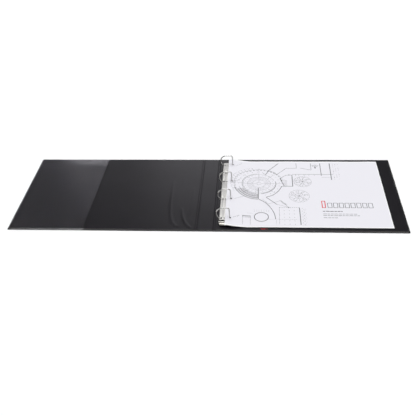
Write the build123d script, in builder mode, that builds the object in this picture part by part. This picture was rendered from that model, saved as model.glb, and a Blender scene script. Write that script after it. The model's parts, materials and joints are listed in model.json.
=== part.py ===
"""A3 landscape ring binder, lying open and flat.

Three foil-covered boards (front cover, spine, back cover) fold on two welded
foil creases. A sheet-steel mechanism with four D-shaped rings and one opening
lever is riveted to the back cover, and a thin stack of punched A3 sheets is
filed on the rings.

Frame: +X across the open binder from the front cover to the back cover, +Y up
the page, +Z out of the lining. The origin is below the middle of the spine.
All sizes are in millimetres.
"""
import os
from math import asin, cos, radians, sin, sqrt, tan

from build123d import *

os.makedirs("parts", exist_ok=True)

# ---- Covers and spine --------------------------------------------------------
cover_width = 484.0  # crease to free edge
cover_height = 325.0
spine_width = 46.0  # crease to crease
board_thickness = 2.0
foil_thickness = 0.35
weld_seam = 3.0  # flat lip where the two foils meet round the outside
crease_width = 8.0  # foil-only strip between two boards
cover_corner_radius = 3.0
board_corner_radius = 2.5

# ---- Pocket ------------------------------------------------------------------
pocket_depth = 196.0
pocket_film = 0.3
pocket_gap = 1.0

# ---- Ring mechanism ----------------------------------------------------------
mechanism_setback = 21.0  # from the back crease to the middle of the housing
housing_front = -127.0  # Y where the crown of the housing ends
housing_back = 131.0
housing_half_width = 9.5
housing_height = 7.6  # above the lining
housing_sheet = 0.8
housing_lip = 2.2
shoulder_height = 5.1
shoulder_width = 2.0
crown_rise = 0.6

pivot_offset = 7.95  # plate edge to the middle of the housing
pivot_height = 2.3  # above the lining
plate_thickness = 0.9
plate_length = 7.75  # pivot to inner edge
plate_rest_slope = 6.0  # degrees, inner edges low
plate_front = -126.0
plate_back = 129.0
prong_back = 134.0

ring_pitch = 80.0
ring_count = 4
wire_radius = 1.5
ring_reach = 16.9  # from the middle of the housing to each leg
bulge_middle = 22.3  # above the lining
bulge_sweep = 115.0  # degrees of arc, from the top of the ring
corner_radius = 6.0
left_bend_radius = 4.5
right_bend_radius = 5.0
stem_offset = 1.3  # wire centre above the middle of the plate
stem_length = 3.75  # pivot to the riveted end of the wire
left_sight_hole_radius = 2.6
right_sight_hole_radius = 1.9
port_width = 4.2
tongue_radius = 0.8
tongue_length = 1.0
tongue_clearance = 0.15

rivet_offset = 80.0  # from the middle of the housing, along Y
rivet_radius = 2.0
rivet_collar_radius = 2.5
rivet_head_radius = 3.5
rivet_foot_radius = 4.0
rivet_clearance = 0.1

# ---- Opening lever -----------------------------------------------------------
lever_pivot_y = -131.0
lever_pivot_height = 3.6  # above the lining
lever_sheet = 0.75
lever_half_width = 8.2
lever_tongue_half_width = 2.0
lever_cheek = 0.8
lever_boss_radius = 2.3
ear_radius = 2.5
pin_radius = 1.25
pin_fit = 0.02
lever_running_fit = 0.05

# ---- Filed sheets ------------------------------------------------------------
sheet_width = 420.0
sheet_height = 297.0
sheet_setback = 27.0  # back crease to the bound edge
hole_margin = 12.0
hole_radius = 3.0
bound_edge_height = 9.9  # underside of the stack above the lining
lying_height = 0.1
drape_start = 15.0  # from the bound edge
drape_length = 57.0
stack_thickness = 0.5
upper_thickness = 0.4
top_thickness = 0.16

# ---- Derived places ----------------------------------------------------------
lining_z = board_thickness + 2 * foil_thickness
half_spine = spine_width / 2
half_crease = crease_width / 2
half_height = cover_height / 2
free_edge = half_spine + cover_width
mechanism_x = half_spine + mechanism_setback
crown_z = lining_z + housing_height
pivot_z = lining_z + pivot_height
lever_pivot_z = lining_z + lever_pivot_height
ring_rows = [(index - (ring_count - 1) / 2) * ring_pitch for index in range(ring_count)]
margin = 5.0  # how far a cutting tool runs past what it cuts


def save(block, name):
    """Label a finished sub-part and write its STEP file."""
    block.part.label = name
    export_step(block.part, f"parts/{name}.step")


# ==== Covers and spine ========================================================
def drill_for_rivets(radius):
    """Cut the two rivet holes of the back cover through the part being made."""
    with Locations(*[(mechanism_x, side * rivet_offset, 0) for side in (-1, 1)]):
        Cylinder(radius + rivet_clearance, 2 * margin, mode=Mode.SUBTRACT)


def make_panel(name, x_low, x_high, free_side, drilled=False):
    """One board between an outer foil and an inner foil.

    The free side (-1 low, 1 high, 0 none) ends in the flat weld seam. A crease
    side ends in a wall of lining foil.
    """
    edge_low = foil_thickness + (weld_seam if free_side < 0 else 0)
    edge_high = foil_thickness + (weld_seam if free_side > 0 else 0)
    middle = (x_low + x_high) / 2
    board_middle = (x_low + edge_low + x_high - edge_high) / 2
    board_length = x_high - edge_high - x_low - edge_low
    board_height = cover_height - 2 * (foil_thickness + weld_seam)

    def foil_sheet(z_low):
        """A flat foil over the whole panel, with its free corners rounded."""
        with BuildSketch(Plane.XY.offset(z_low)) as sheet:
            with Locations((middle, 0)):
                Rectangle(x_high - x_low, cover_height)
            if free_side:
                corners = sheet.vertices().sort_by(Axis.X, reverse=free_side > 0)[:2]
                fillet(corners, cover_corner_radius)
        extrude(sheet.sketch, amount=foil_thickness)

    with BuildPart() as board:
        with BuildSketch(Plane.XY.offset(foil_thickness)):
            with Locations((board_middle, 0)):
                RectangleRounded(board_length, board_height, board_corner_radius)
        extrude(amount=board_thickness)
        if drilled:
            drill_for_rivets(rivet_radius)
    save(board, f"{name}_board")

    with BuildPart() as outer_foil:
        foil_sheet(0)
        if drilled:
            drill_for_rivets(rivet_foot_radius)
    save(outer_foil, f"{name}_outer_foil")

    with BuildPart() as inner_foil:
        foil_sheet(foil_thickness)
        with BuildSketch(Plane.XY.offset(foil_thickness)):
            with Locations((board_middle, 0)):
                wrapped = (board_length + 2 * foil_thickness, board_height + 2 * foil_thickness)
                RectangleRounded(*wrapped, board_corner_radius + foil_thickness)
        extrude(amount=board_thickness + foil_thickness)
        with BuildSketch(Plane.XY.offset(foil_thickness)):
            with Locations((board_middle, 0)):
                RectangleRounded(board_length, board_height, board_corner_radius)
        extrude(amount=board_thickness, mode=Mode.SUBTRACT)
        if drilled:
            drill_for_rivets(rivet_radius)
    save(inner_foil, f"{name}_inner_foil")


make_panel("front", -free_edge, -half_spine - half_crease, free_side=-1)
make_panel("spine", -half_spine + half_crease, half_spine - half_crease, free_side=0)
make_panel("back", half_spine + half_crease, free_edge, free_side=1, drilled=True)

# The two foils are welded together between the boards, and bend there.
for name, crease_x in (("front_hinge_foil", -half_spine), ("back_hinge_foil", half_spine)):
    with BuildPart() as hinge_foil:
        with Locations((crease_x, 0, 0)):
            strip = (crease_width, cover_height, 2 * foil_thickness)
            Box(*strip, align=(Align.CENTER, Align.CENTER, Align.MIN))
    save(hinge_foil, name)

# Clear film pocket on the inside of the front cover, open towards the spine.
with BuildPart() as pocket:
    pocket_low = -free_edge + weld_seam + foil_thickness
    pocket_height = cover_height - 2 * (weld_seam + foil_thickness)
    with Locations((pocket_low, 0, lining_z)):
        shell = (pocket_depth, pocket_height, pocket_gap + pocket_film)
        Box(*shell, align=(Align.MIN, Align.CENTER, Align.MIN))
    with Locations((pocket_low + pocket_film, 0, lining_z)):
        hollow = (pocket_depth, pocket_height - 2 * pocket_film, pocket_gap)
        Box(*hollow, align=(Align.MIN, Align.CENTER, Align.MIN), mode=Mode.SUBTRACT)
save(pocket, "pocket_film")

# ==== Mechanism housing =======================================================
# A channel of spring steel, crowned on top, with inward lips that hold the plates.
with BuildPart() as housing:
    shoulder_x = housing_half_width - shoulder_width
    wall_top = lining_z + shoulder_height
    crown_edge = crown_z - crown_rise
    shoulder_bulge = shoulder_width * (1 - sqrt(0.5))
    with BuildSketch(Plane.XZ.offset(-housing_back)) as section:
        with BuildLine() as outline:
            left = mechanism_x - housing_half_width
            right = mechanism_x + housing_half_width
            Line((left, lining_z), (left, wall_top))
            ThreePointArc(
                (left, wall_top),
                (left + shoulder_bulge, crown_edge - shoulder_bulge),
                (mechanism_x - shoulder_x, crown_edge),
            )
            ThreePointArc(
                (mechanism_x - shoulder_x, crown_edge),
                (mechanism_x, crown_z),
                (mechanism_x + shoulder_x, crown_edge),
            )
            ThreePointArc(
                (mechanism_x + shoulder_x, crown_edge),
                (right - shoulder_bulge, crown_edge - shoulder_bulge),
                (right, wall_top),
            )
            Polyline((right, wall_top), (right, lining_z), (left, lining_z))
        make_face()
        offset(amount=-housing_sheet, mode=Mode.SUBTRACT)
        with Locations((mechanism_x, lining_z)):
            Rectangle(2 * (housing_half_width - housing_lip), 3 * housing_sheet, mode=Mode.SUBTRACT)
    extrude(amount=housing_back - housing_front)
    # Two ears carry the lever's pin in front of the crown.
    for side in (-1, 1):
        ear_x = mechanism_x + side * (housing_half_width - housing_sheet / 2)
        with BuildSketch(Plane.YZ.offset(ear_x)):
            with Locations((lever_pivot_y, lever_pivot_z)):
                Circle(ear_radius)
            with Locations((lever_pivot_y - ear_radius, lining_z)):
                ear_length = housing_front - lever_pivot_y + ear_radius + margin
                Rectangle(ear_length, lever_pivot_height, align=(Align.MIN, Align.MIN))
        extrude(amount=housing_sheet / 2, both=True)
    with BuildSketch(Plane.YZ.offset(mechanism_x)):
        with Locations((lever_pivot_y, lever_pivot_z)):
            Circle(pin_radius + pin_fit)
    extrude(amount=housing_half_width + margin, both=True, mode=Mode.SUBTRACT)
    for row in ring_rows:
        # Ports for the wire in both sides, and two sight holes over its riveted ends.
        for side, sight_hole in ((-1, left_sight_hole_radius), (1, right_sight_hole_radius)):
            port_middle = mechanism_x + side * (housing_half_width - shoulder_width / 2)
            with Locations((port_middle, row, lining_z + 1.2)):
                port = (shoulder_width + 0.6, port_width, crown_edge - lining_z - 1.3)
                Box(*port, align=(Align.CENTER, Align.CENTER, Align.MIN), mode=Mode.SUBTRACT)
            with Locations((mechanism_x + side * (pivot_offset - stem_length), row, crown_z)):
                Cylinder(sight_hole, 3 * housing_sheet, mode=Mode.SUBTRACT)
    with Locations(*[(mechanism_x, side * rivet_offset, crown_z) for side in (-1, 1)]):
        Cylinder(rivet_radius + rivet_clearance, 3 * housing_sheet, mode=Mode.SUBTRACT)
save(housing, "mechanism_housing")

# Two rivets hold the housing on the back cover: foot, shank, collar and domed head.
with BuildPart() as rivets:
    places = [(mechanism_x, side * rivet_offset) for side in (-1, 1)]
    with BuildSketch(Plane.XY):
        with Locations(*places):
            Circle(rivet_foot_radius)
    extrude(amount=foil_thickness)
    with BuildSketch(Plane.XY):
        with Locations(*places):
            Circle(rivet_radius)
    extrude(amount=crown_z)
    with BuildSketch(Plane.XY.offset(lining_z)):
        with Locations(*places):
            Circle(rivet_collar_radius)
    extrude(amount=housing_height - 2 * housing_sheet)
    with BuildSketch(Plane.XY.offset(crown_z)):
        with Locations(*places):
            Circle(rivet_head_radius)
    extrude(amount=housing_sheet, taper=35)
save(rivets, "housing_rivets")

# The lever's pin, with a rivet head outside each ear.
with BuildPart() as pin:
    with BuildSketch(Plane.YZ.offset(mechanism_x)):
        with Locations((lever_pivot_y, lever_pivot_z)):
            Circle(pin_radius)
    extrude(amount=housing_half_width, both=True)
    for side in (-1, 1):
        with BuildSketch(Plane.YZ.offset(mechanism_x + side * housing_half_width)):
            with Locations((lever_pivot_y, lever_pivot_z)):
                Circle(1.6 * pin_radius)
        extrude(amount=side * housing_sheet)
save(pin, "lever_pin")


# ==== Hinge plates and rings ==================================================
def on_plate(side, along, above):
    """The X and Z of a point on a plate, from its pivot towards its inner edge."""
    slope = radians(plate_rest_slope)
    x = pivot_offset - along * cos(slope) - above * sin(slope)
    return (mechanism_x + side * x, pivot_z - along * sin(slope) + above * cos(slope))


def make_plate(side, name):
    """One hinge plate: a strip that turns on its rounded outer edge."""
    half = plate_thickness / 2
    with BuildPart() as plate:
        with BuildSketch(Plane.XZ.offset(-plate_back)):
            with Locations(on_plate(side, 0, 0)):
                Circle(half)
            with BuildLine():
                corners = [(0, half), (plate_length, half), (plate_length, -half), (0, -half)]
                Polyline(*[on_plate(side, *corner) for corner in corners], close=True)
            make_face()
        extrude(amount=plate_back - plate_front)
        # A prong carries on past the back end of the housing.
        with BuildSketch(Plane.XZ.offset(-prong_back)):
            with BuildLine():
                corners = [(2.0, half), (5.5, half), (5.5, -half), (2.0, -half)]
                Polyline(*[on_plate(side, *corner) for corner in corners], close=True)
            make_face()
        extrude(amount=prong_back - plate_back)
        with Locations(*[(mechanism_x, end * rivet_offset, pivot_z) for end in (-1, 1)]):
            notch_radius = rivet_collar_radius + housing_sheet
            Cylinder(notch_radius, 2 * housing_height, mode=Mode.SUBTRACT)
    save(plate, name)
    return plate


left_plate = make_plate(-1, "left_hinge_plate")
right_plate = make_plate(1, "right_hinge_plate")

ring_middle_z = lining_z + bulge_middle
ring_top_z = ring_middle_z + ring_reach
sweep_end = radians(90 + bulge_sweep)
bulge_end = (mechanism_x + ring_reach * cos(sweep_end), ring_middle_z + ring_reach * sin(sweep_end))

# Where the tangent at the end of the bulge meets the line of the riveted stem.
stem_slope = tan(radians(plate_rest_slope))
stem_x, stem_z = on_plate(-1, 0, stem_offset)
run = (-sin(sweep_end), cos(sweep_end))
reach = (bulge_end[1] - stem_z + (bulge_end[0] - stem_x) * stem_slope)
reach = -reach / (run[1] + run[0] * stem_slope)
left_corner = (bulge_end[0] + reach * run[0], bulge_end[1] + reach * run[1])

right_stem_x, right_stem_z = on_plate(1, 0, stem_offset)
right_leg_x = mechanism_x + ring_reach
right_corner = (right_leg_x, right_stem_z + (right_leg_x - right_stem_x) * stem_slope)

for index, row in enumerate(ring_rows, start=1):
    ring_plane = Plane.XZ.offset(-row)
    # The bulged half is round from the parting line down to the housing.
    with BuildPart() as left_half:
        with BuildLine(ring_plane) as left_path:
            CenterArc((mechanism_x, ring_middle_z), ring_reach, 90, bulge_sweep)
            stem_end = on_plate(-1, stem_length, stem_offset)
            FilletPolyline(bulge_end, left_corner, stem_end, radius=left_bend_radius)
        with BuildSketch(Plane((mechanism_x, row, ring_top_z), z_dir=(-1, 0, 0))):
            Circle(wire_radius)
        sweep(path=left_path.line)
        with BuildSketch(Plane((mechanism_x, row, ring_top_z), z_dir=(1, 0, 0))):
            Circle(tongue_radius)
        extrude(amount=tongue_length, taper=12)
        add(left_plate.part, mode=Mode.SUBTRACT)
    save(left_half, f"bulged_ring_half_{index}")

    # The straight half has the tall leg that keeps the sheets in line.
    with BuildPart() as right_half:
        with BuildLine(ring_plane) as right_path:
            FilletPolyline(
                (mechanism_x, ring_top_z),
                (right_leg_x, ring_top_z),
                right_corner,
                on_plate(1, stem_length, stem_offset),
                radius=[corner_radius, right_bend_radius],
            )
        with BuildSketch(Plane((mechanism_x, row, ring_top_z), z_dir=(1, 0, 0))):
            Circle(wire_radius)
        sweep(path=right_path.line)
        with BuildSketch(Plane((mechanism_x, row, ring_top_z), z_dir=(1, 0, 0))):
            Circle(tongue_radius + tongue_clearance)
        extrude(amount=tongue_length + tongue_clearance, mode=Mode.SUBTRACT)
        add(right_plate.part, mode=Mode.SUBTRACT)
    save(right_half, f"straight_ring_half_{index}")

# ==== Opening lever ===========================================================
# One pressed strip: a tongue under the plates, a step up under the pin and a
# thumb paddle with a curled tip, with two cheeks that turn on the pin.
with BuildPart() as lever:
    web_z = lever_pivot_z - 3.0
    riser_y = lever_pivot_y - 1.2
    with BuildSketch(Plane.YZ.offset(mechanism_x)):
        with BuildLine():
            FilletPolyline(
                (lever_pivot_y + 8.5, web_z),
                (riser_y, web_z),
                (riser_y - 2.8, web_z + 4.9),
                (riser_y - 5.8, web_z + 6.9),
                (riser_y - 10.3, web_z + 6.9),
                (riser_y - 14.1, web_z + 3.7),
                radius=[1.2, 2.0, 3.0, 2.4],
            )
        trace(line_width=lever_sheet)
    extrude(amount=lever_half_width, both=True)
    # The plan of the strip: a narrow tongue, and a paddle with rounded corners.
    with BuildSketch(Plane.XY.offset(lining_z)):
        with Locations((mechanism_x, lever_pivot_y + 2.5)):
            paddle = (2 * lever_half_width, 20.0)
            Rectangle(*paddle, align=(Align.CENTER, Align.MAX))
        fillet(vertices().group_by(Axis.Y)[0], 5.0)
        with Locations((mechanism_x, lever_pivot_y)):
            Rectangle(2 * lever_tongue_half_width, margin * 4)
    extrude(amount=3 * housing_height, mode=Mode.INTERSECT)
    for side in (-1, 1):
        cheek_x = mechanism_x + side * (lever_half_width - lever_cheek / 2)
        with BuildSketch(Plane.YZ.offset(cheek_x)):
            with Locations((lever_pivot_y, lever_pivot_z)):
                Circle(lever_boss_radius)
            with BuildLine():
                Polyline(
                    (lever_pivot_y, lever_pivot_z - lever_boss_radius),
                    (lever_pivot_y, lever_pivot_z + lever_boss_radius),
                    (riser_y - 5.8, web_z + 6.9),
                    (riser_y - 2.8, web_z + 4.9),
                    (riser_y, web_z),
                    close=True,
                )
            make_face()
        extrude(amount=lever_cheek / 2, both=True)
    with BuildSketch(Plane.YZ.offset(mechanism_x)):
        with Locations((lever_pivot_y, lever_pivot_z)):
            Circle(pin_radius + lever_running_fit)
    extrude(amount=lever_half_width + margin, both=True, mode=Mode.SUBTRACT)
save(lever, "opening_lever")

# ==== Filed sheets ============================================================
bound_edge_x = half_spine + sheet_setback
loose_edge_x = bound_edge_x + sheet_width
drop = bound_edge_height - lying_height
drape_radius = ((drape_length / 2) ** 2 + (drop / 2) ** 2) / drop
half_turn = asin(drape_length / 2 / drape_radius) / 2


def draw_drape(rise):
    """The side view of a sheet: over the rings, down in an S, then flat to the edge."""
    high = lining_z + bound_edge_height + rise
    low = lining_z + lying_height + rise
    bend_x = bound_edge_x + drape_start
    middle = (bend_x + drape_length / 2, (high + low) / 2)
    swing = drape_radius * sin(half_turn)
    sag = drape_radius * (1 - cos(half_turn))
    Line((bound_edge_x, high), (bend_x, high))
    ThreePointArc((bend_x, high), (bend_x + swing, high - sag), middle)
    flat_x = bend_x + drape_length
    ThreePointArc(middle, (flat_x - swing, low + sag), (flat_x, low))
    Line((flat_x, low), (loose_edge_x, low))
    return high, low


layers = [
    ("sheet_stack", 0.0, stack_thickness),
    ("upper_sheets", stack_thickness, upper_thickness),
    ("top_sheet", stack_thickness + upper_thickness, top_thickness),
]
for name, rise, thickness in layers:
    with BuildPart() as sheets:
        with BuildSketch(Plane.XZ):
            with BuildLine():
                high, low = draw_drape(rise)
                draw_drape(rise + thickness)
                Line((bound_edge_x, high), (bound_edge_x, high + thickness))
                Line((loose_edge_x, low), (loose_edge_x, low + thickness))
            make_face()
        extrude(amount=sheet_height / 2, both=True)
        with Locations(*[(bound_edge_x + hole_margin, row, crown_z) for row in ring_rows]):
            Cylinder(hole_radius, 4 * margin, mode=Mode.SUBTRACT)
    save(sheets, name)
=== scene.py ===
"""A3 landscape ring binder, lying open and flat: the looks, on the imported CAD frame.

Each cover's lining and outer foil are rebuilt as continuous sheets that run from the
middle of the spine, over the crease, to the free edge. The pocket film, the filed
sheets and their print are new meshes too. The mechanism and the greyboards keep
their CAD shapes, with softened edges where the real ones are rounded.
Lengths here are in millimetres; mm() and new_piece() turn them into the frame's metres.
"""

import json
from math import ceil, cos, pi, radians, sin

import bpy
import numpy as np
from mathutils import Euler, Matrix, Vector


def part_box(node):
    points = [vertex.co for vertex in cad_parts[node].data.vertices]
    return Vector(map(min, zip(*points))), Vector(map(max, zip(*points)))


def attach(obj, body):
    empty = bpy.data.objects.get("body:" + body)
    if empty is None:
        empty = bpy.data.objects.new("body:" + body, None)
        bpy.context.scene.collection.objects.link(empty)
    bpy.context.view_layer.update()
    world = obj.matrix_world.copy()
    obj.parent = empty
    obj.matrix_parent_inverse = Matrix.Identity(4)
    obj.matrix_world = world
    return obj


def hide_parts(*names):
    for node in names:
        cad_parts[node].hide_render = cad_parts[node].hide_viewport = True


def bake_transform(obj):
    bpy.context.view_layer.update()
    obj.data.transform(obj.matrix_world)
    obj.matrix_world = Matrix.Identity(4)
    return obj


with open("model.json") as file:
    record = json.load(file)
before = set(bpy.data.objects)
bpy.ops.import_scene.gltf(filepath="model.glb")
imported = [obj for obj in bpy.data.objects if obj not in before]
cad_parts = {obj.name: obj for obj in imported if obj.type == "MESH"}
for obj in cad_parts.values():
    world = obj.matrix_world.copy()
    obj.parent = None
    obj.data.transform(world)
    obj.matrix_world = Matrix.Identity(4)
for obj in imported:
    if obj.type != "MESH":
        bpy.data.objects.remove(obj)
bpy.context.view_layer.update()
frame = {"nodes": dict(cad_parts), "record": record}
nodes = frame["nodes"]
record_slots = {row["slot"] for row in frame["record"]["materials"]}

MM = 0.001


def mm(*values):
    """Millimetres as metres: one number, or a tuple of them."""
    scaled = tuple(value * MM for value in values)
    return scaled[0] if len(scaled) == 1 else scaled


def cad(node):
    """The lowest and highest corner of a CAD node, in millimetres."""
    low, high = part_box(node)
    return [value / MM for value in low], [value / MM for value in high]


# ==== Sizes taken from the frame ==============================================
cover_low, cover_high = cad("front_outer_foil")
lining_high = cad("back_inner_foil")[1]
crease_low, crease_high = cad("front_hinge_foil")
board_high = cad("back_board")[1]
pocket_high = cad("pocket_film")[1]
foil = cover_high[2] - cover_low[2]
free_edge = lining_high[0]
half_height = lining_high[1]
lining_top = lining_high[2]
crease_x = -(crease_low[0] + crease_high[0]) / 2
half_crease = (crease_high[0] - crease_low[0]) / 2
seam = free_edge - board_high[0] - foil
rivet_low, rivet_high = cad("housing_rivets")
mechanism_x = (rivet_low[0] + rivet_high[0]) / 2
rivet_foot_radius = (rivet_high[0] - rivet_low[0]) / 2
rivet_y = rivet_high[1] - rivet_foot_radius
ring_rows = [
    sum(corner[1] for corner in cad(f"straight_ring_half_{index}")) / 2
    for index in range(1, 5)
]

# ==== Looks that the frame doesn't hold, in millimetres =======================
corner_radius = 3.0
corner_zone = 8.0  # how far from a corner the grid bends round it
board_softening = 0.9  # rounding of the greyboards' edges under the foil
groove_depth = 0.1  # pressed line in the weld seam
weld_roughness = 0.16
weld_fade = 0.8  # from the pressed seam's edge to full grain
hole_sides = 32
cutter_foot, cutter_top = -5.0, 30.0  # below and above every piece that is punched


# ==== Meshes ==================================================================
def steps(low, high, coarse, fine_spots=()):
    """Grid stations from low to high, coarse apart, with extra ones at fine_spots."""
    count = max(1, ceil((high - low) / coarse))
    values = list(np.linspace(low, high, count + 1))
    spots = [spot for spot in fine_spots if low <= spot <= high]
    values = [v for v in values if all(abs(v - s) > 0.3 * coarse for s in spots)]
    values = sorted(values + spots + [low, high])
    kept = [values[0]]
    for value in values[1:]:
        if value - kept[-1] > 0.02:
            kept.append(value)
    kept[-1] = high
    return np.array(kept)


def new_piece(name, points, faces, flat=None):
    """An object from points in millimetres; flat gives each point its UV, in metres."""
    mesh = bpy.data.meshes.new(name)
    mesh.from_pydata([tuple(p) for p in np.asarray(points) * MM], [], faces)
    if flat is not None:
        layer = mesh.uv_layers.new(name="flat")
        corners = np.zeros(len(mesh.loops), np.int32)
        mesh.loops.foreach_get("vertex_index", corners)
        layer.data.foreach_set("uv", (np.asarray(flat)[corners] * MM).ravel())
    mesh.validate()
    mesh.update()
    piece = bpy.data.objects.new(name, mesh)
    bpy.context.scene.collection.objects.link(piece)
    return piece


def sheet_normals(top):
    """Upward unit normals of a grid of points with shape (rows, columns, 3)."""
    across = np.gradient(top, axis=1)
    along = np.gradient(top, axis=0)
    normal = np.cross(across, along)
    return normal / np.linalg.norm(normal, axis=2, keepdims=True)


def thin_shell(name, xs, ys, place, thickness, lowest=None):
    """A closed sheet. place(x, y) gives the upper face; thickness hangs below it.

    lowest keeps the underside from sinking below that height.
    """
    grid_x, grid_y = np.meshgrid(xs, ys)
    top = np.stack(place(grid_x, grid_y), axis=2)
    under = top - thickness * sheet_normals(top)
    if lowest is not None:
        under[..., 2] = np.maximum(under[..., 2], lowest)
    rows, columns = grid_x.shape
    number = np.arange(rows * columns).reshape(rows, columns)
    offset = rows * columns
    a, b = number[:-1, :-1].ravel(), number[:-1, 1:].ravel()
    c, d = number[1:, 1:].ravel(), number[1:, :-1].ravel()
    faces = list(zip(a, b, c, d)) + list(zip(d + offset, c + offset, b + offset, a + offset))
    rim = [*number[0, :-1], *number[:-1, -1], *number[-1, :0:-1], *number[:0:-1, 0]]
    for first, second in zip(rim, rim[1:] + rim[:1]):
        faces.append((second, first, first + offset, second + offset))
    faces = [tuple(int(i) for i in face) for face in faces]
    points = np.concatenate([top.reshape(-1, 3), under.reshape(-1, 3)])
    flat = np.stack([grid_x.ravel(), grid_y.ravel()], axis=1)
    return new_piece(name, points, faces, np.concatenate([flat, flat]))


def apply_modifiers(piece):
    """Turn the piece's modifiers into mesh."""
    graph = bpy.context.evaluated_depsgraph_get()
    finished = bpy.data.meshes.new_from_object(piece.evaluated_get(graph))
    piece.modifiers.clear()
    piece.data = finished


def punch(piece, places, radius):
    """Cut round holes through a flat piece, at (x, y) places."""
    points, faces = [], []
    turns = [2 * pi * k / hole_sides for k in range(hole_sides)]
    for x, y in places:
        first = len(points)
        for z in (cutter_foot, cutter_top):
            points += [(x + radius * cos(turn), y + radius * sin(turn), z) for turn in turns]
        low = range(first, first + hole_sides)
        high = range(first + hole_sides, first + 2 * hole_sides)
        faces += [tuple(reversed(low)), tuple(high)]
        for k in range(hole_sides):
            after = (k + 1) % hole_sides
            faces.append((low[k], low[after], high[after], high[k]))
    cutter = new_piece("cutter", points, faces)
    cut = piece.modifiers.new("holes", "BOOLEAN")
    cut.operation = "DIFFERENCE"
    cut.solver = "EXACT"
    cut.object = cutter
    apply_modifiers(piece)
    bpy.data.objects.remove(cutter)


def smooth_by_angle(limit):
    """A geometry node group that shades smooth, except across edges over limit degrees."""
    name = f"smooth_under_{limit}"
    if name in bpy.data.node_groups:
        return bpy.data.node_groups[name]
    group = bpy.data.node_groups.new(name, "GeometryNodeTree")
    group.interface.new_socket("Geometry", in_out="INPUT", socket_type="NodeSocketGeometry")
    group.interface.new_socket("Geometry", in_out="OUTPUT", socket_type="NodeSocketGeometry")
    start, end = group.nodes.new("NodeGroupInput"), group.nodes.new("NodeGroupOutput")
    faces = group.nodes.new("GeometryNodeSetShadeSmooth")
    edges = group.nodes.new("GeometryNodeSetShadeSmooth")
    edges.domain = "EDGE"
    angle = group.nodes.new("GeometryNodeInputMeshEdgeAngle")
    compare = group.nodes.new("FunctionNodeCompare")
    compare.operation = "LESS_THAN"
    compare.inputs["B"].default_value = radians(limit)
    link = group.links.new
    link(angle.outputs["Unsigned Angle"], compare.inputs["A"])
    link(start.outputs["Geometry"], faces.inputs["Geometry"])
    link(faces.outputs["Geometry"], edges.inputs["Geometry"])
    link(compare.outputs["Result"], edges.inputs["Shade Smooth"])
    link(edges.outputs["Geometry"], end.inputs["Geometry"])
    return group


def shade(piece, limit):
    """Smooth shading that keeps edges over limit degrees crisp."""
    piece.modifiers.new("shading", "NODES").node_group = smooth_by_angle(limit)


# ==== Materials ===============================================================
class Finish:
    """One procedural material: a Principled shader and the nodes that feed it."""

    def __init__(self, name, coordinates, **sockets):
        self.material = bpy.data.materials.new(name)
        self.material.use_nodes = True
        self.tree = self.material.node_tree
        self.shader = self.tree.nodes["Principled BSDF"]
        self.place = self.node("TexCoord").outputs[coordinates]
        self.normal = None
        for socket, value in sockets.items():
            self.shader.inputs[socket.replace("_", " ")].default_value = value

    def node(self, kind, inputs=None, **settings):
        """A shader node, with its settings, and its inputs set or linked."""
        made = self.tree.nodes.new("ShaderNode" + kind)
        for key, value in settings.items():
            setattr(made, key, value)
        for key, value in (inputs or {}).items():
            if isinstance(value, bpy.types.NodeSocket):
                self.tree.links.new(value, made.inputs[key])
            else:
                made.inputs[key].default_value = value
        return made

    def stretched(self, x, y, z):
        """The place, scaled on each axis, for grain that runs one way."""
        return self.node("Mapping", {"Vector": self.place, "Scale": (x, y, z)}).outputs["Vector"]

    def noise(self, size, detail=2.0, roughness=0.5, place=None):
        """Noise with features about size millimetres across, from 0 to 1."""
        inputs = {
            "Vector": place or self.place,
            "Scale": 1 / mm(size),
            "Detail": detail,
            "Roughness": roughness,
        }
        return self.node("TexNoise", inputs).outputs["Fac"]

    def cells(self, size):
        """Pebbled cells about size millimetres across: their distance field."""
        inputs = {"Vector": self.place, "Scale": 1 / mm(size)}
        return self.node("TexVoronoi", inputs, feature="SMOOTH_F1").outputs["Distance"]

    def spread(self, value, low, high, source=(0.3, 0.7)):
        """A value from the source range, mapped to low..high and held there."""
        inputs = {
            "Value": value,
            "From Min": source[0],
            "From Max": source[1],
            "To Min": low,
            "To Max": high,
        }
        return self.node("MapRange", inputs, clamp=True).outputs["Result"]

    def blend(self, factor, first, second):
        """A colour between two colours, or colour sockets."""
        mixer = self.node("Mix", data_type="RGBA")
        for key, value in ((0, factor), (6, first), (7, second)):
            if isinstance(value, bpy.types.NodeSocket):
                self.tree.links.new(value, mixer.inputs[key])
            else:
                mixer.inputs[key].default_value = value
        return mixer.outputs[2]

    def bump(self, height, depth, strength=1.0):
        """Relief depth millimetres deep, on top of any earlier relief."""
        inputs = {"Height": height, "Distance": mm(depth), "Strength": strength}
        if self.normal is not None:
            inputs["Normal"] = self.normal
        self.normal = self.node("Bump", inputs).outputs["Normal"]

    def feed(self, **sockets):
        """Link the shader's sockets, and its relief, to what was made."""
        for socket, value in sockets.items():
            self.tree.links.new(value, self.shader.inputs[socket.replace("_", " ")])
        if self.normal is not None:
            self.tree.links.new(self.normal, self.shader.inputs["Normal"])
        return self.material


def grey(level, warm=0.0):
    """A linear RGBA grey; warm above 0 leans to yellow, below 0 to blue."""
    return (level * (1 + warm / 2), level, level * (1 - warm), 1.0)


def pigment(level):
    """Carbon black in plastic, as linear RGBA: it leans slightly to violet."""
    return (level * 1.05, level * 0.85, level * 1.3, 1.0)


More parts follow.
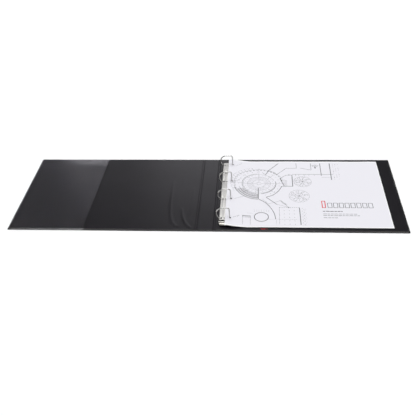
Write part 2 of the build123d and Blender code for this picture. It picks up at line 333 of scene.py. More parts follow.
def foil_finish(name, dark, light, roughness, grain_depth):
    """Black embossed plastic foil, pressed smooth and shiny along its weld seam."""
    finish = Finish(name, "UV", Specular_IOR_Level=0.44, IOR=1.5)
    slow = finish.noise(70, detail=3)
    colour = finish.blend(finish.spread(slow, 0, 1), pigment(dark), pigment(light))
    body = finish.spread(from_outline(finish), 0, 1, (mm(seam), mm(seam + weld_fade)))
    grain = finish.node("Math", {0: finish.cells(0.55), 1: body}, operation="MULTIPLY").outputs[0]
    finish.bump(finish.noise(26, detail=1), 0.05)
    finish.bump(grain, grain_depth, 0.6)
    rough = finish.spread(finish.noise(9, detail=4), roughness - 0.03, roughness + 0.04)
    pressed = finish.node("Math", {0: 1.0, 1: body}, operation="SUBTRACT").outputs[0]
    inputs = {0: pressed, 1: weld_roughness - roughness, 2: rough}
    rough = finish.node("Math", inputs, operation="MULTIPLY_ADD").outputs[0]
    return finish.feed(Base_Color=colour, Roughness=rough)


def from_outline(finish):
    """How far inside the cover's outline a place on the flat foil is, in metres."""
    parts = finish.node("SeparateXYZ", {"Vector": finish.place})
    margins = []
    for axis, reach in (("X", free_edge), ("Y", half_height)):
        size = finish.node("Math", {0: parts.outputs[axis]}, operation="ABSOLUTE").outputs[0]
        margin = finish.node("Math", {0: mm(reach), 1: size}, operation="SUBTRACT").outputs[0]
        margins.append(margin)
    inputs = {0: margins[0], 1: margins[1]}
    return finish.node("Math", inputs, operation="MINIMUM").outputs[0]


def metal_finish(name, dark, light, warm, roughness, streak=(1.0, 1.0, 1.0)):
    """Plated steel: drawn streaks, faint cloudy staining and fine handling marks."""
    finish = Finish(name, "Object", Metallic=1.0)
    cloudy = finish.noise(14, detail=4, roughness=0.6)
    colour = finish.blend(finish.spread(cloudy, 0, 1), grey(dark, warm), grey(light, warm))
    drawn = finish.noise(0.5, detail=3, place=finish.stretched(*streak))
    finish.bump(drawn, 0.002, 0.4)
    marks = finish.noise(2.4, detail=5, roughness=0.65)
    rough = finish.spread(marks, roughness - 0.05, roughness + 0.07)
    return finish.feed(Base_Color=colour, Roughness=rough)


def board_finish():
    """Grey pulp board with short fibres."""
    finish = Finish("greyboard", "Object", Specular_IOR_Level=0.2)
    pulp = finish.noise(1.4, detail=6, roughness=0.7)
    colour = finish.blend(finish.spread(pulp, 0, 1), grey(0.16, 0.1), grey(0.3, 0.12))
    finish.bump(finish.noise(0.6, detail=4), 0.05)
    return finish.feed(Base_Color=colour, Roughness=finish.spread(pulp, 0.85, 0.97))


def film_finish():
    """Clear plastic film with a faint haze and the ripple of a calendered sheet."""
    finish = Finish(
        "clear_film",
        "UV",
        Base_Color=(0.95, 0.93, 0.98, 1.0),
        Transmission_Weight=1.0,
        IOR=1.57,
    )
    finish.bump(finish.noise(45, detail=1), 0.08)
    finish.bump(finish.noise(0.8, detail=2), 0.002)
    haze = finish.spread(finish.noise(12, detail=4), 0.15, 0.21)
    return finish.feed(Roughness=haze)


def paper_finish(name, tint=None, border=None):
    """Uncoated paper; inside border of its edges it may carry a pale printed tint."""
    finish = Finish(name, "UV", Specular_IOR_Level=0.25)
    fibres = finish.noise(1.1, detail=5, roughness=0.65)
    colour = finish.blend(finish.spread(fibres, 0, 1), grey(0.84, -0.01), grey(0.9, -0.01))
    if tint is not None:
        toned = finish.blend(finish.spread(fibres, 0, 1), tint[0], tint[1])
        colour = finish.blend(inside_box(finish, *border), colour, toned)
    finish.bump(finish.noise(0.35, detail=3), 0.01)
    finish.bump(finish.noise(60, detail=2), 0.15)
    return finish.feed(Base_Color=colour, Roughness=finish.spread(fibres, 0.72, 0.86))


def inside_box(finish, low, high):
    """1 inside the rectangle from low to high on the flat sheet, 0 outside."""
    parts = finish.node("SeparateXYZ", {"Vector": finish.place})
    inside = None
    for axis, lower, upper in zip("XY", low, high):
        value = parts.outputs[axis]
        for edge, test in ((lower, "GREATER_THAN"), (upper, "LESS_THAN")):
            side = finish.node("Math", {0: value, 1: mm(edge)}, operation=test).outputs[0]
            if inside is None:
                inside = side
            else:
                inside = finish.node("Math", {0: inside, 1: side}, operation="MULTIPLY").outputs[0]
    return inside


def ink_finish(name, colour, fade):
    """Printed ink, a little uneven where the paper shows through."""
    finish = Finish(name, "Object", Specular_IOR_Level=0.3)
    patchy = finish.noise(0.9, detail=4, roughness=0.6)
    mixed = finish.blend(finish.spread(patchy, 0, 1), colour, fade)
    return finish.feed(Base_Color=mixed, Roughness=finish.spread(patchy, 0.6, 0.8))


sheet_low, sheet_high = cad("top_sheet")
print_border = (2.5, 4.5)  # unprinted margin at the right edge, and at front and back
printed_area = (  # its tint runs off the bound edge
    (sheet_low[0] - 1.0, sheet_low[1] + print_border[1]),
    (sheet_high[0] - print_border[0], sheet_high[1] - print_border[1]),
)
print_tint = ((0.745, 0.738, 0.782, 1.0), (0.785, 0.778, 0.824, 1.0))
finishes = {
    "cover_foil": foil_finish("cover_foil", 0.004, 0.006, 0.42, 0.04),
    "lining_foil": foil_finish("lining_foil", 0.004, 0.006, 0.32, 0.02),
    "clear_film": film_finish(),
    "greyboard": board_finish(),
    "housing_steel": metal_finish("housing_steel", 0.6, 0.64, 0.03, 0.5, (1.0, 0.03, 1.0)),
    "plate_steel": metal_finish("plate_steel", 0.38, 0.48, 0.03, 0.36, (1.0, 0.05, 1.0)),
    "ring_wire": metal_finish("ring_wire", 0.5, 0.58, 0.02, 0.26),
    "rivet_steel": metal_finish("rivet_steel", 0.5, 0.6, 0.05, 0.32),
    "lever_steel": metal_finish("lever_steel", 0.48, 0.58, 0.08, 0.34, (1.0, 0.2, 1.0)),
    "paper": paper_finish("paper"),
    "printed_paper": paper_finish("printed_paper", print_tint, printed_area),
}
drawing_ink = ink_finish("drawing_ink", grey(0.07, -0.05), grey(0.14, -0.05))
accent_ink = ink_finish("accent_ink", (0.62, 0.03, 0.04, 1.0), (0.72, 0.07, 0.08, 1.0))


def finish_piece(piece, slot, material=None):
    """Give a new piece the material of its slot; the slot must be one that the record holds."""
    assert slot in record_slots, slot
    piece.data.materials.clear()
    piece.data.materials.append(material or finishes[slot])


# ==== Covers ==================================================================
def shoulder(start, wall_foot, count=7):
    """Heights of the lining over a softened board edge that stands at start.

    Pairs of (distance, height): up the wall of foil, then over a quarter round.
    """
    radius = board_softening + foil
    centre = (start + radius, lining_top - radius)
    turns = [radians(90 * k / (count - 1)) for k in range(count)]
    quarter = [(centre[0] - radius * cos(t), centre[1] + radius * sin(t)) for t in turns]
    return [(start - 0.45, wall_foot), (start - 0.15, wall_foot + 0.2)] + quarter


# The lining from the outline inward, as (distance, height): the welded lip with its
# pressed groove, then the wall and the shoulder of the board.
lip_top = 2 * foil
edge_profile = [
    (0.0, lip_top - 0.03),
    (0.25, lip_top),
    (0.9, lip_top),
    (1.1, lip_top - groove_depth),
    (1.7, lip_top - groove_depth),
    (1.9, lip_top),
    *shoulder(seam, lip_top),
]
edge_reach = edge_profile[-1][0]
edge_stations = [d for d, _ in edge_profile] + [5.0, 6.0, 7.0, corner_zone]
cover_grid = 9.0  # between the covers' grid lines where nothing calls for more
crease_half_width = 5.2  # how far from a crease's middle the foils start to dip
crease_depth = 1.0  # how far each foil dips to meet the other in a crease
crease_profile = [
    (d, lining_top - crease_depth * (0.5 + 0.5 * cos(pi * d / crease_half_width)))
    for d in np.linspace(0, crease_half_width, 9)
]
crease_stations = [d for d, _ in crease_profile] + [1.3, 7.0]


def profile_height(distance, profile):
    """The height at a distance, on a profile of (distance, height) pairs."""
    return np.interp(distance, [p[0] for p in profile], [p[1] for p in profile])


def rounded_place(x, y, side):
    """Move grid points near the free corners so that the corners are round.

    side is -1 for the front cover and 1 for the back cover. Each square level
    about the corner becomes a level of the same size with a rounded corner, so
    distances from the edge are kept.
    """
    u = side * x - (free_edge - corner_zone)
    v = np.abs(y) - (half_height - corner_zone)
    near = (u > 0) & (v > 0)
    a, b = np.where(near, u, 1.0), np.where(near, v, 1.0)
    level = np.maximum(a, b)
    radius = np.minimum(corner_radius, level)
    straight = level - radius
    travelled = np.minimum(a, b) / level * (straight + radius * pi / 4)
    turn = np.maximum(travelled - straight, 0) / radius
    far = straight + radius * np.cos(turn)
    side_step = np.where(turn > 0, straight + radius * np.sin(turn), travelled)
    new_u, new_v = np.where(a >= b, far, side_step), np.where(a >= b, side_step, far)
    out_x = np.where(near, side * (free_edge - corner_zone + new_u), x)
    out_y = np.where(near, np.sign(y) * (half_height - corner_zone + new_v), y)
    return out_x, out_y


def edge_distance(x, y, side):
    """How far inside the cover's outline a grid point lies."""
    return np.minimum(free_edge - side * x, half_height - np.abs(y))


def smooth_path(points, count=60):
    """Points along a smooth curve through the given ones (Catmull-Rom)."""
    p = np.array([points[0], *points, points[-1]], float)
    pieces = []
    spans = len(points) - 1
    for k in range(spans):
        t = np.linspace(0, 1, max(2, count // spans), endpoint=k == spans - 1)[:, None]
        a, b, c, d = p[k], p[k + 1], p[k + 2], p[k + 3]
        pieces.append(
            0.5 * (2 * b + (c - a) * t + (2 * a - 5 * b + 4 * c - d) * t**2
                   + (3 * b - a - 3 * c + d) * t**3)
        )
    return np.concatenate(pieces)


def ridge(x, y, path, height, width):
    """A soft ridge along a path, fading at its ends."""
    nearest = np.full(x.shape, 1e9)
    along = np.zeros(x.shape)
    for index, (px, py) in enumerate(path):
        distance = np.hypot(x - px, y - py)
        closer = distance < nearest
        nearest = np.where(closer, distance, nearest)
        along = np.where(closer, index / (len(path) - 1), along)
    fade = np.sin(np.pi * np.clip(along, 0, 1)) ** 0.6
    return height * fade * np.exp(-((nearest / width) ** 2))


# Wrinkles in the front lining where it was pulled over the board, as a path of (x, y)
# with its height and width.
long_path = [(-99, 50), (-99, -10), (-96, -70), (-90, -115), (-80, -138), (-66, -150)]
short_path = [(-66, -70), (-62, -98), (-55, -124), (-44, -144), (-33, -152)]
faint_path = [(-44, 20), (-40, -20), (-40, -60), (-46, -100)]
wrinkles = [
    (smooth_path(long_path), 0.65, 3.8),
    (smooth_path(short_path), 0.7, 3.4),
    (smooth_path(faint_path), 0.3, 5.0),
]
lining_slack = 0.08  # how far the lining undulates over the boards


def lining_height(x, y, side):
    """The lining's upper face: weld seam, boards' shoulders, crease and wrinkles."""
    height = profile_height(edge_distance(x, y, side), edge_profile)
    from_crease = np.abs(np.abs(x) - crease_x)
    height = np.minimum(height, profile_height(from_crease, crease_profile))
    slack = lining_slack * np.sin(x / 31 + y / 47) * np.sin(y / 38 - x / 73)
    if side < 0:
        for path, rise, width in wrinkles:
            slack = slack + ridge(x, y, path, rise, width)
    settled = np.clip((height - lip_top) / (lining_top - lip_top), 0, 1)
    return height + slack * settled


def cover_columns(side, fine=()):
    """Grid columns of one cover: fine at the free edge, the crease and fine spots."""
    edge = [side * (free_edge - d) for d in edge_stations]
    crease = [side * (crease_x + s * d) for d in crease_stations for s in (-1, 1)]
    low, high = sorted((0.0, side * free_edge))
    return steps(low, high, cover_grid, sorted({round(v, 4) for v in [*edge, *crease, *fine]}))


def cover_rows(fine=()):
    """Grid rows of either cover: fine at the front and back edges and fine spots."""
    spots = [s * (half_height - d) for d in edge_stations for s in (-1, 1)]
    spots = sorted({round(v, 4) for v in [*spots, *fine]})
    return steps(-half_height, half_height, cover_grid, spots)


def rivet_places():
    """Where the housing's two rivets pass through the back cover."""
    return [(mechanism_x, -rivet_y), (mechanism_x, rivet_y)]


for side, cover, name in ((-1, "front_cover", "front"), (1, "back_cover", "back")):
    wrinkle_columns = list(np.arange(-112, -27, 1.8)) if side < 0 else []
    wrinkle_rows = list(np.arange(-156, 60, 3.0)) if side < 0 else []

    def lining_place(x, y, side=side):
        """The lining's upper face, with the cover's corners rounded."""
        new_x, new_y = rounded_place(x, y, side)
        return new_x, new_y, lining_height(x, y, side)

    def outer_place(x, y, side=side):
        """The outer foil's inner face, which rises in a crease as the lining dips."""
        new_x, new_y = rounded_place(x, y, side)
        from_crease = np.abs(np.abs(x) - crease_x)
        rise = lining_top - profile_height(from_crease, crease_profile)
        from_end = np.clip((half_height - np.abs(y)) / edge_reach, 0, 1)
        return new_x, new_y, foil + rise * from_end

    lining = thin_shell(
        f"{name}_lining",
        cover_columns(side, wrinkle_columns),
        cover_rows(wrinkle_rows),
        lining_place,
        foil,
        lowest=foil,
    )
    outer = thin_shell(f"{name}_outer", cover_columns(side), cover_rows(), outer_place, foil)
    if side > 0:
        punch(outer, rivet_places(), rivet_foot_radius + 0.1)
    finish_piece(lining, "lining_foil")
    finish_piece(outer, "cover_foil")
    for piece in (lining, outer):
        shade(piece, 40)
        apply_modifiers(piece)
        start = mm(side * (crease_x - half_crease), 0, lip_top / 2)
        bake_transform(piece)
    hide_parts(f"{name}_inner_foil")
    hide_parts(f"{name}_outer_foil", f"{name}_hinge_foil")
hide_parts("spine_inner_foil")
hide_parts("spine_outer_foil")

# ==== Pocket ==================================================================
film_thickness = 0.2
film_inset = 1.2  # from the cover's outline to the film's welded edge
film_gap = 0.1  # between the lining and the film where it lies flat
film_slack = 0.55  # how far the film's middle stands off, apart from its open edge
open_edge_slant = 3.0  # how far each end of the open edge lies off square

# Heights of the film along its open edge, as (y, height off the lining).
rise_end = 160.0
film_rise = smooth_path(
    [(-rise_end, 0), (-150, 0.8), (-132, 2.3), (-108, 3.2), (-62, 2.6), (0, 1.9), (60, 1.5),
     (98, 1.5), (122, 2.0), (140, 1.6), (152, 0.7), (rise_end, 0)],
    240,
)


def pocket_depth(x):
    """From 0 at the cover's free edge to 1 at the pocket's open edge."""
    return np.clip((x + free_edge) / (pocket_high[0] + free_edge), 0, 1)


def film_bulge(x, y):
    """How far the film stands off its resting place on the lining."""
    depth = pocket_depth(x)
    station = y * (rise_end / (half_height - film_inset))
    edge = np.interp(station, film_rise[:, 0], film_rise[:, 1])
    even = film_slack * np.clip(1 - (station / rise_end) ** 2, 0, 1)
    return edge * depth**1.5 + even * np.sin(pi * depth) ** 2


def film_place(x, y):
    """The film's upper face: flat at its welds, raised and slanted at its open edge."""
    new_x, new_y = rounded_place(x, y, -1)
    slant = open_edge_slant * (y / half_height) * pocket_depth(x) ** 3
    under = profile_height(edge_distance(x, y, -1), edge_profile)
    height = under + film_gap + film_thickness + film_bulge(x, y)
    return new_x + slant, new_y, height


film_columns = [
    v for v in cover_columns(-1) if -free_edge + film_inset < v < pocket_high[0] - 2.0
]
film_columns = np.array([-free_edge + film_inset, *film_columns, pocket_high[0]])
film_rows = [v for v in cover_rows() if abs(v) < half_height - film_inset]
film_rows = np.array([film_inset - half_height, *film_rows, half_height - film_inset])
film = thin_shell("pocket_window", film_columns, film_rows, film_place, film_thickness)
finish_piece(film, "clear_film")
shade(film, 50)
apply_modifiers(film)
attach(film, "front_cover")
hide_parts("pocket_film")

# ==== Filed sheets ============================================================
drape_start = sheet_low[0] + 7.0  # where the sheets start to come down from the rings
drape_length = 66.0
droop = 2.6  # how much lower the bound edge hangs at the front corner
bound_height = sheet_high[2] - sheet_low[2]
curl_height, curl_start = 0.9, 118.0  # of the front edge, and how far in front it starts
hole_margin = 12.0  # from the bound edge to the holes' middles
hole_radius = 3.0
sheet_thickness, drawing_thickness = 0.1, 0.12
drawing_rise = 0.15  # the top sheet's upper face above its node's underside
pack_thickness = {"sheet_stack": 0.5, "upper_sheets": 0.4, "top_sheet": 0.16}  # in the CAD
sheet_body = {
    "sheet_stack": "lower_sheets",
    "upper_sheets": "middle_sheets",
    "top_sheet": "printed_sheet",
}

# The fall from the rings, with its bend rounded by a running mean.
fall_x = np.arange(drape_start - 40, drape_start + drape_length + 40, 0.5)
fall = (1 - np.clip((fall_x - drape_start) / drape_length, 0, 1)) ** 2
softened = np.convolve(np.pad(fall, 10, "edge"), np.ones(21) / 21, "valid")


def drape(x, y):
    """How high a sheet rides at x: 1 on the rings, falling to 0 where it lies flat."""
    front = np.clip((-y / sheet_high[1] - 0.72) / 0.28, 0, 1)
    sag = 1 - droop / bound_height * front * front * (3 - 2 * front)
    return np.interp(x, fall_x, softened) * sag


def cockle(x, y):
    """The slight waviness of the sheets towards their back and front edges."""
    lying = np.clip((x - drape_start - drape_length) / 60, 0, 1)
    back = np.clip((y / half_height + 0.2) / 1.2, 0, 1) ** 2
    front = np.clip((-y / half_height - 0.3) / 0.7, 0, 1) ** 2
    return lying * (
        0.22 * back * (1 + np.sin(x / 17.5 + 0.6)) + 0.15 * front * (1 + np.sin(x / 26 + 2.0))
    )


def curl(x, y):
    """The front edge's slight upward curl, away from the rings."""
    lying = np.clip((x - drape_start - 30) / 60, 0, 1)
    forward = np.clip((-y - curl_start) / (sheet_high[1] - curl_start), 0, 1)
    return curl_height * lying * forward**2


def sheet_surface(x, y, high, low):
    """A sheet's upper face, between its heights on the rings and where it lies flat."""
    return low + (high - low) * drape(x, y) + cockle(x, y) + curl(x, y)


def make_filed_sheet(name, node, rise, thickness, slot, shift=(0.0, 0.0), turn=0.0):
    """One sheet of the stack: rise is its upper face above the node's underside."""
    low, high = cad(node)
    crest, flat = high[2] - pack_thickness[node] + rise, low[2] + rise
    middle = ((low[0] + high[0]) / 2, 0.0)

    def place(x, y):
        dx, dy = x - middle[0], y - middle[1]
        px = middle[0] + dx * cos(turn) - dy * sin(turn) + shift[0]
        py = middle[1] + dx * sin(turn) + dy * cos(turn) + shift[1]
        return px, py, sheet_surface(x, y, crest, flat)

    # Grid lines are close where the sheet comes down from the rings and where it droops.
    bend = list(np.arange(drape_start - 7, drape_start + 70, 2.0))
    front = list(np.arange(low[1], -104, 2.5))
    columns, rows = steps(low[0], high[0], 8.0, bend), steps(low[1], high[1], 9.0, front)
    piece = thin_shell(name, columns, rows, place, thickness)
    places = []
    for row in ring_rows:
        hole = place(np.array([[low[0] + hole_margin]]), np.array([[row]]))
        places.append((float(hole[0][0, 0]), float(hole[1][0, 0])))
    punch(piece, places, hole_radius)
    finish_piece(piece, slot)
    shade(piece, 40)
    apply_modifiers(piece)
    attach(piece, sheet_body[node])
    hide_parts(node)


# Each sheet lies a little off the one below, as a used stack does.
for index in range(4):
    name, rise = f"lower_sheet_{index + 1}", 0.105 + index * 0.125
    shift = (0.3 * sin(2.1 * index) - 0.3, 0.5 * cos(3.7 * index))
    turn = radians(0.05 * sin(5 * index + 1))
    make_filed_sheet(name, "sheet_stack", rise, sheet_thickness, "paper", shift, turn)
for index in range(3):
    name, rise = f"upper_sheet_{index + 1}", 0.11 + index * 0.13
    shift = (0.12 * sin(4.3 * index + 1), 0.4 * cos(2.9 * index))
    turn = radians(0.04 * sin(3 * index))
    make_filed_sheet(name, "upper_sheets", rise, sheet_thickness, "paper", shift, turn)
make_filed_sheet("drawing_sheet", "top_sheet", drawing_rise, drawing_thickness, "printed_paper")

# ==== The print on the top sheet ==============================================
# A generic floor plan, drawn as thin strokes of ink in millimetres on the sheet.
strong, medium, fine = 1.6, 1.0, 0.55  # line widths
ink_above, ink_below = 0.05, 0.02  # how far the ink stands off and sinks into the paper
strokes = []
accents = []


def draw(width, *points, into=strokes):
    """A line through points, with stations close enough to follow the sheet."""
    line = [np.array(points[0], float)]
    for target in points[1:]:
        target = np.array(target, float)
        length = np.hypot(*(target - line[-1]))
        count = max(1, ceil(length / 3.0))
        line += [line[-1] + (target - line[-1]) * (k + 1) / count for k in range(count)]
    into.append((np.array(line), width))


def around(centre, radius, angle):
    """The point at radius from centre, at an angle in radians."""
    return centre[0] + radius * cos(angle), centre[1] + radius * sin(angle)


def arc(centre, radius, start=0.0, end=360.0):
    """Points along an arc, at angles in degrees."""
    count = max(2, ceil(abs(radians(end - start)) * radius / 2.0))
    turns = np.radians(np.linspace(start, end, count + 1))
    return [around(centre, radius, turn) for turn in turns]


def dashes(width, points, on, gap, into=strokes):
    """A dashed line along points."""
    points = np.array(points, float)
    travelled = np.concatenate([[0], np.cumsum(np.hypot(*np.diff(points, axis=0).T))])
    for start in np.arange(0, travelled[-1] - on / 2, on + gap):
        spots = np.linspace(start, min(start + on, travelled[-1]), 3)
        line = [[np.interp(spot, travelled, points[:, k]) for k in (0, 1)] for spot in spots]
        draw(width, *line, into=into)


def dot(x, y, size):
    """A square dot."""
    draw(size, (x - size / 2, y), (x + size / 2, y))


def box(width, x0, y0, x1, y1, into=strokes):
    """The four sides of a rectangle."""
    half = width / 2
    draw(width, (x0 - half, y0), (x1 + half, y0), into=into)
    draw(width, (x0 - half, y1), (x1 + half, y1), into=into)
    draw(width, (x0, y0), (x0, y1), into=into)
    draw(width, (x1, y0), (x1, y1), into=into)


# Round hall with seats, columns, an outer colonnade and a fan of stairs.
hall = (136.0, 39.0)


def from_hall(radius, angle):
    """The point at radius from the hall's middle, at an angle in degrees."""
    return around(hall, radius, radians(angle))


draw(fine, *arc(hall, 6))
draw(fine, *arc(hall, 17.5))
for radius in (21, 24.5, 28):
    dashes(fine, arc(hall, radius, -20, 320), 1.3, 0.9)
draw(fine, *arc(hall, 31.5))
draw(medium, *arc(hall, 46.5, 95, 260))
draw(strong, *arc(hall, 46.5, 278, 372))
draw(fine, *arc(hall, 43.5, 20, 350))
dashes(strong, arc(hall, 65, 12, 128), 5.5, 4.5)
dashes(fine, arc(hall, 65, 128, 200), 5.5, 4.5)
draw(fine, *arc(hall, 68.5, 20, 215))
dashes(fine, arc(hall, 78, 105, 215), 2.5, 3.0)
for angle in range(0, 360, 15):
    dot(*from_hall(38, angle), 1.3)
    if not 205 < angle < 275:
        dot(*from_hall(56, angle + 4), 1.6)
for angle in (0, 45, 90, 135, 180, 225, 315):
    inner, outer = (7, 74) if angle % 90 == 0 else (33, 62)
    draw(fine, from_hall(inner, angle), from_hall(outer, angle))
for angle in range(104, 206, 9):
    draw(fine, from_hall(66, angle), from_hall(77, angle))
for radius, start in ((50, 207), (57, 203), (64, 207), (71, 200)):
    draw(strong if radius > 52 else medium, *arc(hall, radius, start, 268))
for angle in np.arange(208, 268, 2.6):
    draw(fine, from_hall(50, angle), from_hall(71, angle))
draw(1.9, (134, 19), (134, -32))
dashes(medium, [(128, 14), (128, -9)], 2, 2)
# Curved path, corridors and rooms round the hall.
draw(strong, *smooth_path([(136, -32), (152, -46), (166, -68), (175, -92), (178.5, -116)], 40))
draw(strong, *smooth_path([(198, 27), (190, 8), (175, -12), (155, -23)], 24), (183, -54))
draw(fine, (183, -54), (213, -66))
draw(fine, (145, -30), (160, -52), (196, -37))
draw(strong, (155, 82), (162, 101), (191, 138))
draw(medium, (147, 90), (155, 82))
draw(medium, (185, 82), (213, 114), (242, 114), (242, 139))
draw(medium, *smooth_path([(162, 101), (178, 93), (185, 82)], 12))
draw(medium, (194, 64), (212, 80), (228, 80))
draw(2.0, (228, 80), (228, 27))
draw(strong, (228, 27), (205, 27), (194, 64))
draw(strong, (205, 27), (198, 27))
for step in np.linspace(0.1, 0.9, 7):
    draw(fine, (205 - 11 * step, 27 + 37 * step), (213, 27 + 30 * step))
for x in (219, 222.5):
    dashes(medium, [(x, 78), (x, 84)], 3, 1)
draw(medium, (253, 115), (283, 106), (283, 139))
draw(medium, (228, 84), (343, 84))
for x in (238, 247, 262, 275, 290):
    draw(fine, (x, 84), (x, 76))
draw(fine, (309, 70), (337, 70))
draw(strong, (309.5, 139), (309.5, 78))
draw(2.0, (336.5, 139), (336, 58))
for k in range(5):
    draw(fine, *arc((295, 118), 4 + 2.4 * k, 40, 140))
draw(3.4, (295, 114), (295, 122))
for row in range(11):
    for column in range(3):
        if (row * 3 + column) % 4 != 1:
            dot(345 + 7 * column, 62 + 7.2 * row, 1.2 + 0.5 * ((row + column) % 2))
# Trees: a crown with branches.
for centre, radius, turn in (((243, -17), 27, 10), ((256, 49), 24, 33)):
    draw(fine, *arc(centre, radius))
    draw(fine, *arc(centre, 0.42 * radius, 30, 290))
    for k in range(9):
        angle = radians(turn + 40 * k + 9 * sin(3 * k))
        knee = around(centre, radius * 0.4, angle + 0.3)
        draw(fine, centre, knee, around(centre, radius * 0.93, angle))
    for k in range(8):
        leaf = around(centre, radius * 0.7, radians(turn + 45 * k))
        draw(fine, *arc(leaf, 4.5, 20 * k, 20 * k + 230))
# Pool, colonnade court, pier and a small entrance block.
draw(1.9, *arc((142, -107), 18))
for row in (-84, -79):
    for k in range(7):
        dot(124 + 6.2 * k, row, 1.2)
dashes(fine, [(160, -116), (232, -116)], 3, 2)
dashes(medium, [(189, -67), (241, -67)], 3, 2.5)
dashes(medium, [(189, -67), (188, -138)], 3, 2.5)
dashes(fine, [(180, -119), (180, -138)], 3, 2)
for x in (201, 214, 227):
    for y in (-80, -94, -108, -122, -136):
        dot(x, y, 1.5)
draw(2.0, (241, -68), (241.5, -138))
for k in range(12):
    dot(248 + 4 * (k % 2), -70 - 6 * k, 1.4)
    dot(257 - 2 * (k % 3), -73 - 6 * k, 1.0)
for k in range(7):
    draw(0.45, (191 + 2.6 * k, -35 - 2.6 * k), (198 + 2.2 * k, -48 - 2.6 * k))
dot(213, -67, 3.4)
draw(2.2, (93, -104), (115, -104))
draw(medium, (93, -109), (115, -109))
draw(fine, (94, -104), (94, -139))
draw(fine, (114, -104), (114, -139))
for k in range(4):
    dot(107 + 3.4 * k, -92, 1.2)
# Four faint strokes near the bound edge, one by each ring.
draw(fine, (70, -38), (96, -20))
draw(fine, (70, 42), (88, 60))
draw(fine, (70, -116), (86, -104), (80, -112))
draw(fine, (72, 119), (86, 133))
# Title block: plain frames in place of a heading, and bars in place of small print.
block_left, frame_foot, frame_width = 300.0, -66.5, 10.5
box(2.4, 300.5, frame_foot, 308.5, -39.0, into=accents)
for x in range(315, 425, 15):
    box(1.4, x, frame_foot, x + frame_width, -47.0)
for y, thick, ends in ((-82, 2.6, 351), (-93, 1.5, 388), (-99.5, 1.5, 396), (-108.5, 1.5, 336)):
    x, k = block_left, 0
    while x < ends - 4:
        word = 5 + 4.5 * abs(sin(2.3 * k + y))
        draw(thick, (x, y), (min(x + word, ends), y))
        x, k = x + word + 1.7, k + 1


def lay_ink(name, lines, surface, material):
    """Closed ribbons of ink along lines, lying on a surface."""
    points, faces = [], []
    for line, width in lines:
        heading = np.gradient(line, axis=0)
        heading /= np.hypot(heading[:, 0], heading[:, 1])[:, None]
        aside = np.stack([-heading[:, 1], heading[:, 0]], axis=1) * width / 2
        first, count = len(points), len(line)
        # Four points at each station: left above and below, then right above and below.
        for k in range(count):
            for x, y in (line[k] + aside[k], line[k] - aside[k]):
                height = float(surface(x, y))
                points += [(x, y, height + ink_above), (x, y, height - ink_below)]
        for k in range(count - 1):
            a, b = first + 4 * k, first + 4 * k + 4
            faces += [(a, a + 2, b + 2, b), (a + 1, b + 1, b + 3, a + 3)]
            faces += [(a, b, b + 1, a + 1), (a + 2, a + 3, b + 3, b + 2)]
        last = first + 4 * (count - 1)
        faces += [(first, first + 1, first + 3, first + 2), (last, last + 2, last + 3, last + 1)]
    piece = new_piece(name, points, faces)
    finish_piece(piece, "printed_paper", material)
    return piece


def top_of_drawing(x, y):
    """The height of the drawing sheet's upper face."""
    crest = sheet_high[2] - pack_thickness["top_sheet"] + drawing_rise
    return sheet_surface(x, y, crest, sheet_low[2] + drawing_rise)


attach(lay_ink("plan_print", strokes, top_of_drawing, drawing_ink), "printed_sheet")
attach(lay_ink("title_accent", accents, top_of_drawing, accent_ink), "printed_sheet")

# Three plain red blocks, printed on the lining in front of the sheets.
marks = []
marks_y = -153.6
for x, width in ((141.0, 5.0), (147.5, 4.5), (155.0, 2.0)):
    draw(1.8, (x, marks_y), (x + width, marks_y), into=marks)


def top_of_lining(x, y):
    """The height of the back cover's lining."""
    return lining_height(np.array(x), np.array(y), 1)


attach(lay_ink("lining_mark", marks, top_of_lining, accent_ink), "back_cover")

# ==== Carried-over metal and board ============================================
softened_edges = {
    "mechanism_housing": 0.18,
    "opening_lever": 0.12,
    "housing_rivets": 0.15,
    "lever_pin": 0.12,
    "left_hinge_plate": 0.1,
    "right_hinge_plate": 0.1,
    "front_board": board_softening,
    "spine_board": board_softening,
    "back_board": board_softening,
}
for name, node in nodes.items():
    if node.hide_render:
        continue
    slot = node.material_slots[0].material.name
    node.material_slots[0].material = finishes[slot]
    weld = node.modifiers.new("weld", "WELD")
    weld.merge_threshold = mm(0.001)
    if name in softened_edges:
        bevel = node.modifiers.new("edges", "BEVEL")
        bevel.width = mm(softened_edges[name])
        bevel.segments = 2
        bevel.limit_method = "ANGLE"
        bevel.angle_limit = radians(40)
    shade(node, 38)

# ==== Floor, light and camera =================================================
scene = bpy.context.scene
scene.view_settings.view_transform = "Standard"

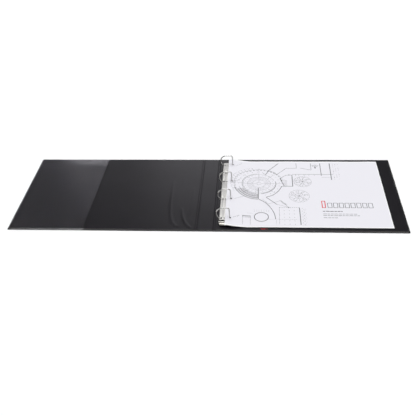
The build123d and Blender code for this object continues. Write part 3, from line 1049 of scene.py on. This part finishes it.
floor_material = Finish("floor", "Object", Roughness=0.9, Specular_IOR_Level=0.1)
floor_tone = floor_material.spread(floor_material.noise(900, detail=2), 0, 1)
floor_material.feed(Base_Color=floor_material.blend(floor_tone, grey(0.92), grey(0.94)))
floor_reach = 40000.0
floor_height = -0.1  # just below the covers, so that the two faces don't meet
corners = [(x * floor_reach, y * floor_reach) for x, y in ((-1, -1), (1, -1), (1, 1), (-1, 1))]
floor = new_piece("floor", [(x, y, floor_height) for x, y in corners], [(0, 1, 2, 3)])
floor.data.materials.append(floor_material.material)

# The studio: pale walls round the horizon under a dark ceiling.
world = bpy.data.worlds.new("studio")
world.use_nodes = True
studio = world.node_tree
upward = studio.nodes.new("ShaderNodeSeparateXYZ")
studio.links.new(studio.nodes.new("ShaderNodeTexCoord").outputs["Generated"], upward.inputs[0])
walls = studio.nodes.new("ShaderNodeValToRGB")
walls.color_ramp.interpolation = "EASE"
walls.color_ramp.elements[0].position = 0.1
walls.color_ramp.elements[0].color = (0.97, 0.98, 1.0, 1.0)
walls.color_ramp.elements[1].position = 0.3
walls.color_ramp.elements[1].color = (0.042, 0.043, 0.045, 1.0)
studio.links.new(upward.outputs["Z"], walls.inputs[0])
studio.links.new(walls.outputs["Color"], studio.nodes["Background"].inputs["Color"])
scene.world = world


def softbox(name, place, target, size, power, colour):
    """A rectangular area light at place, facing target, both in millimetres."""
    light = bpy.data.lights.new(name, "AREA")
    light.shape = "RECTANGLE"
    light.size, light.size_y = mm(*size)
    light.energy = power
    light.color = colour
    lamp = bpy.data.objects.new(name, light)
    lamp.location = mm(*place)
    aim = Vector(mm(*target)) - lamp.location
    lamp.rotation_euler = aim.to_track_quat("-Z", "Y").to_euler()
    scene.collection.objects.link(lamp)


sun = bpy.data.lights.new("overhead", "SUN")
sun.energy = 3.15
sun.angle = radians(62)
scene.collection.objects.link(bpy.data.objects.new("overhead", sun))
daylight = (0.96, 0.95, 1.0)
softbox("back_window", (-50, 2640, 1400), (0, 0, 0), (1340, 900), 6.2, daylight)
softbox("left_window", (-1100, 2400, 1040), (-360, 100, 0), (320, 760), 0.85, daylight)

camera_data = bpy.data.cameras.new("camera")
camera_data.lens = 51.07
camera_data.shift_x = -0.024
camera = bpy.data.objects.new("camera", camera_data)
camera.location = mm(126.1, -1286.2, 954.8)
camera.rotation_euler = Euler([radians(a) for a in (52.013, 1.91, 3.086)])
scene.collection.objects.link(camera)
scene.camera = camera
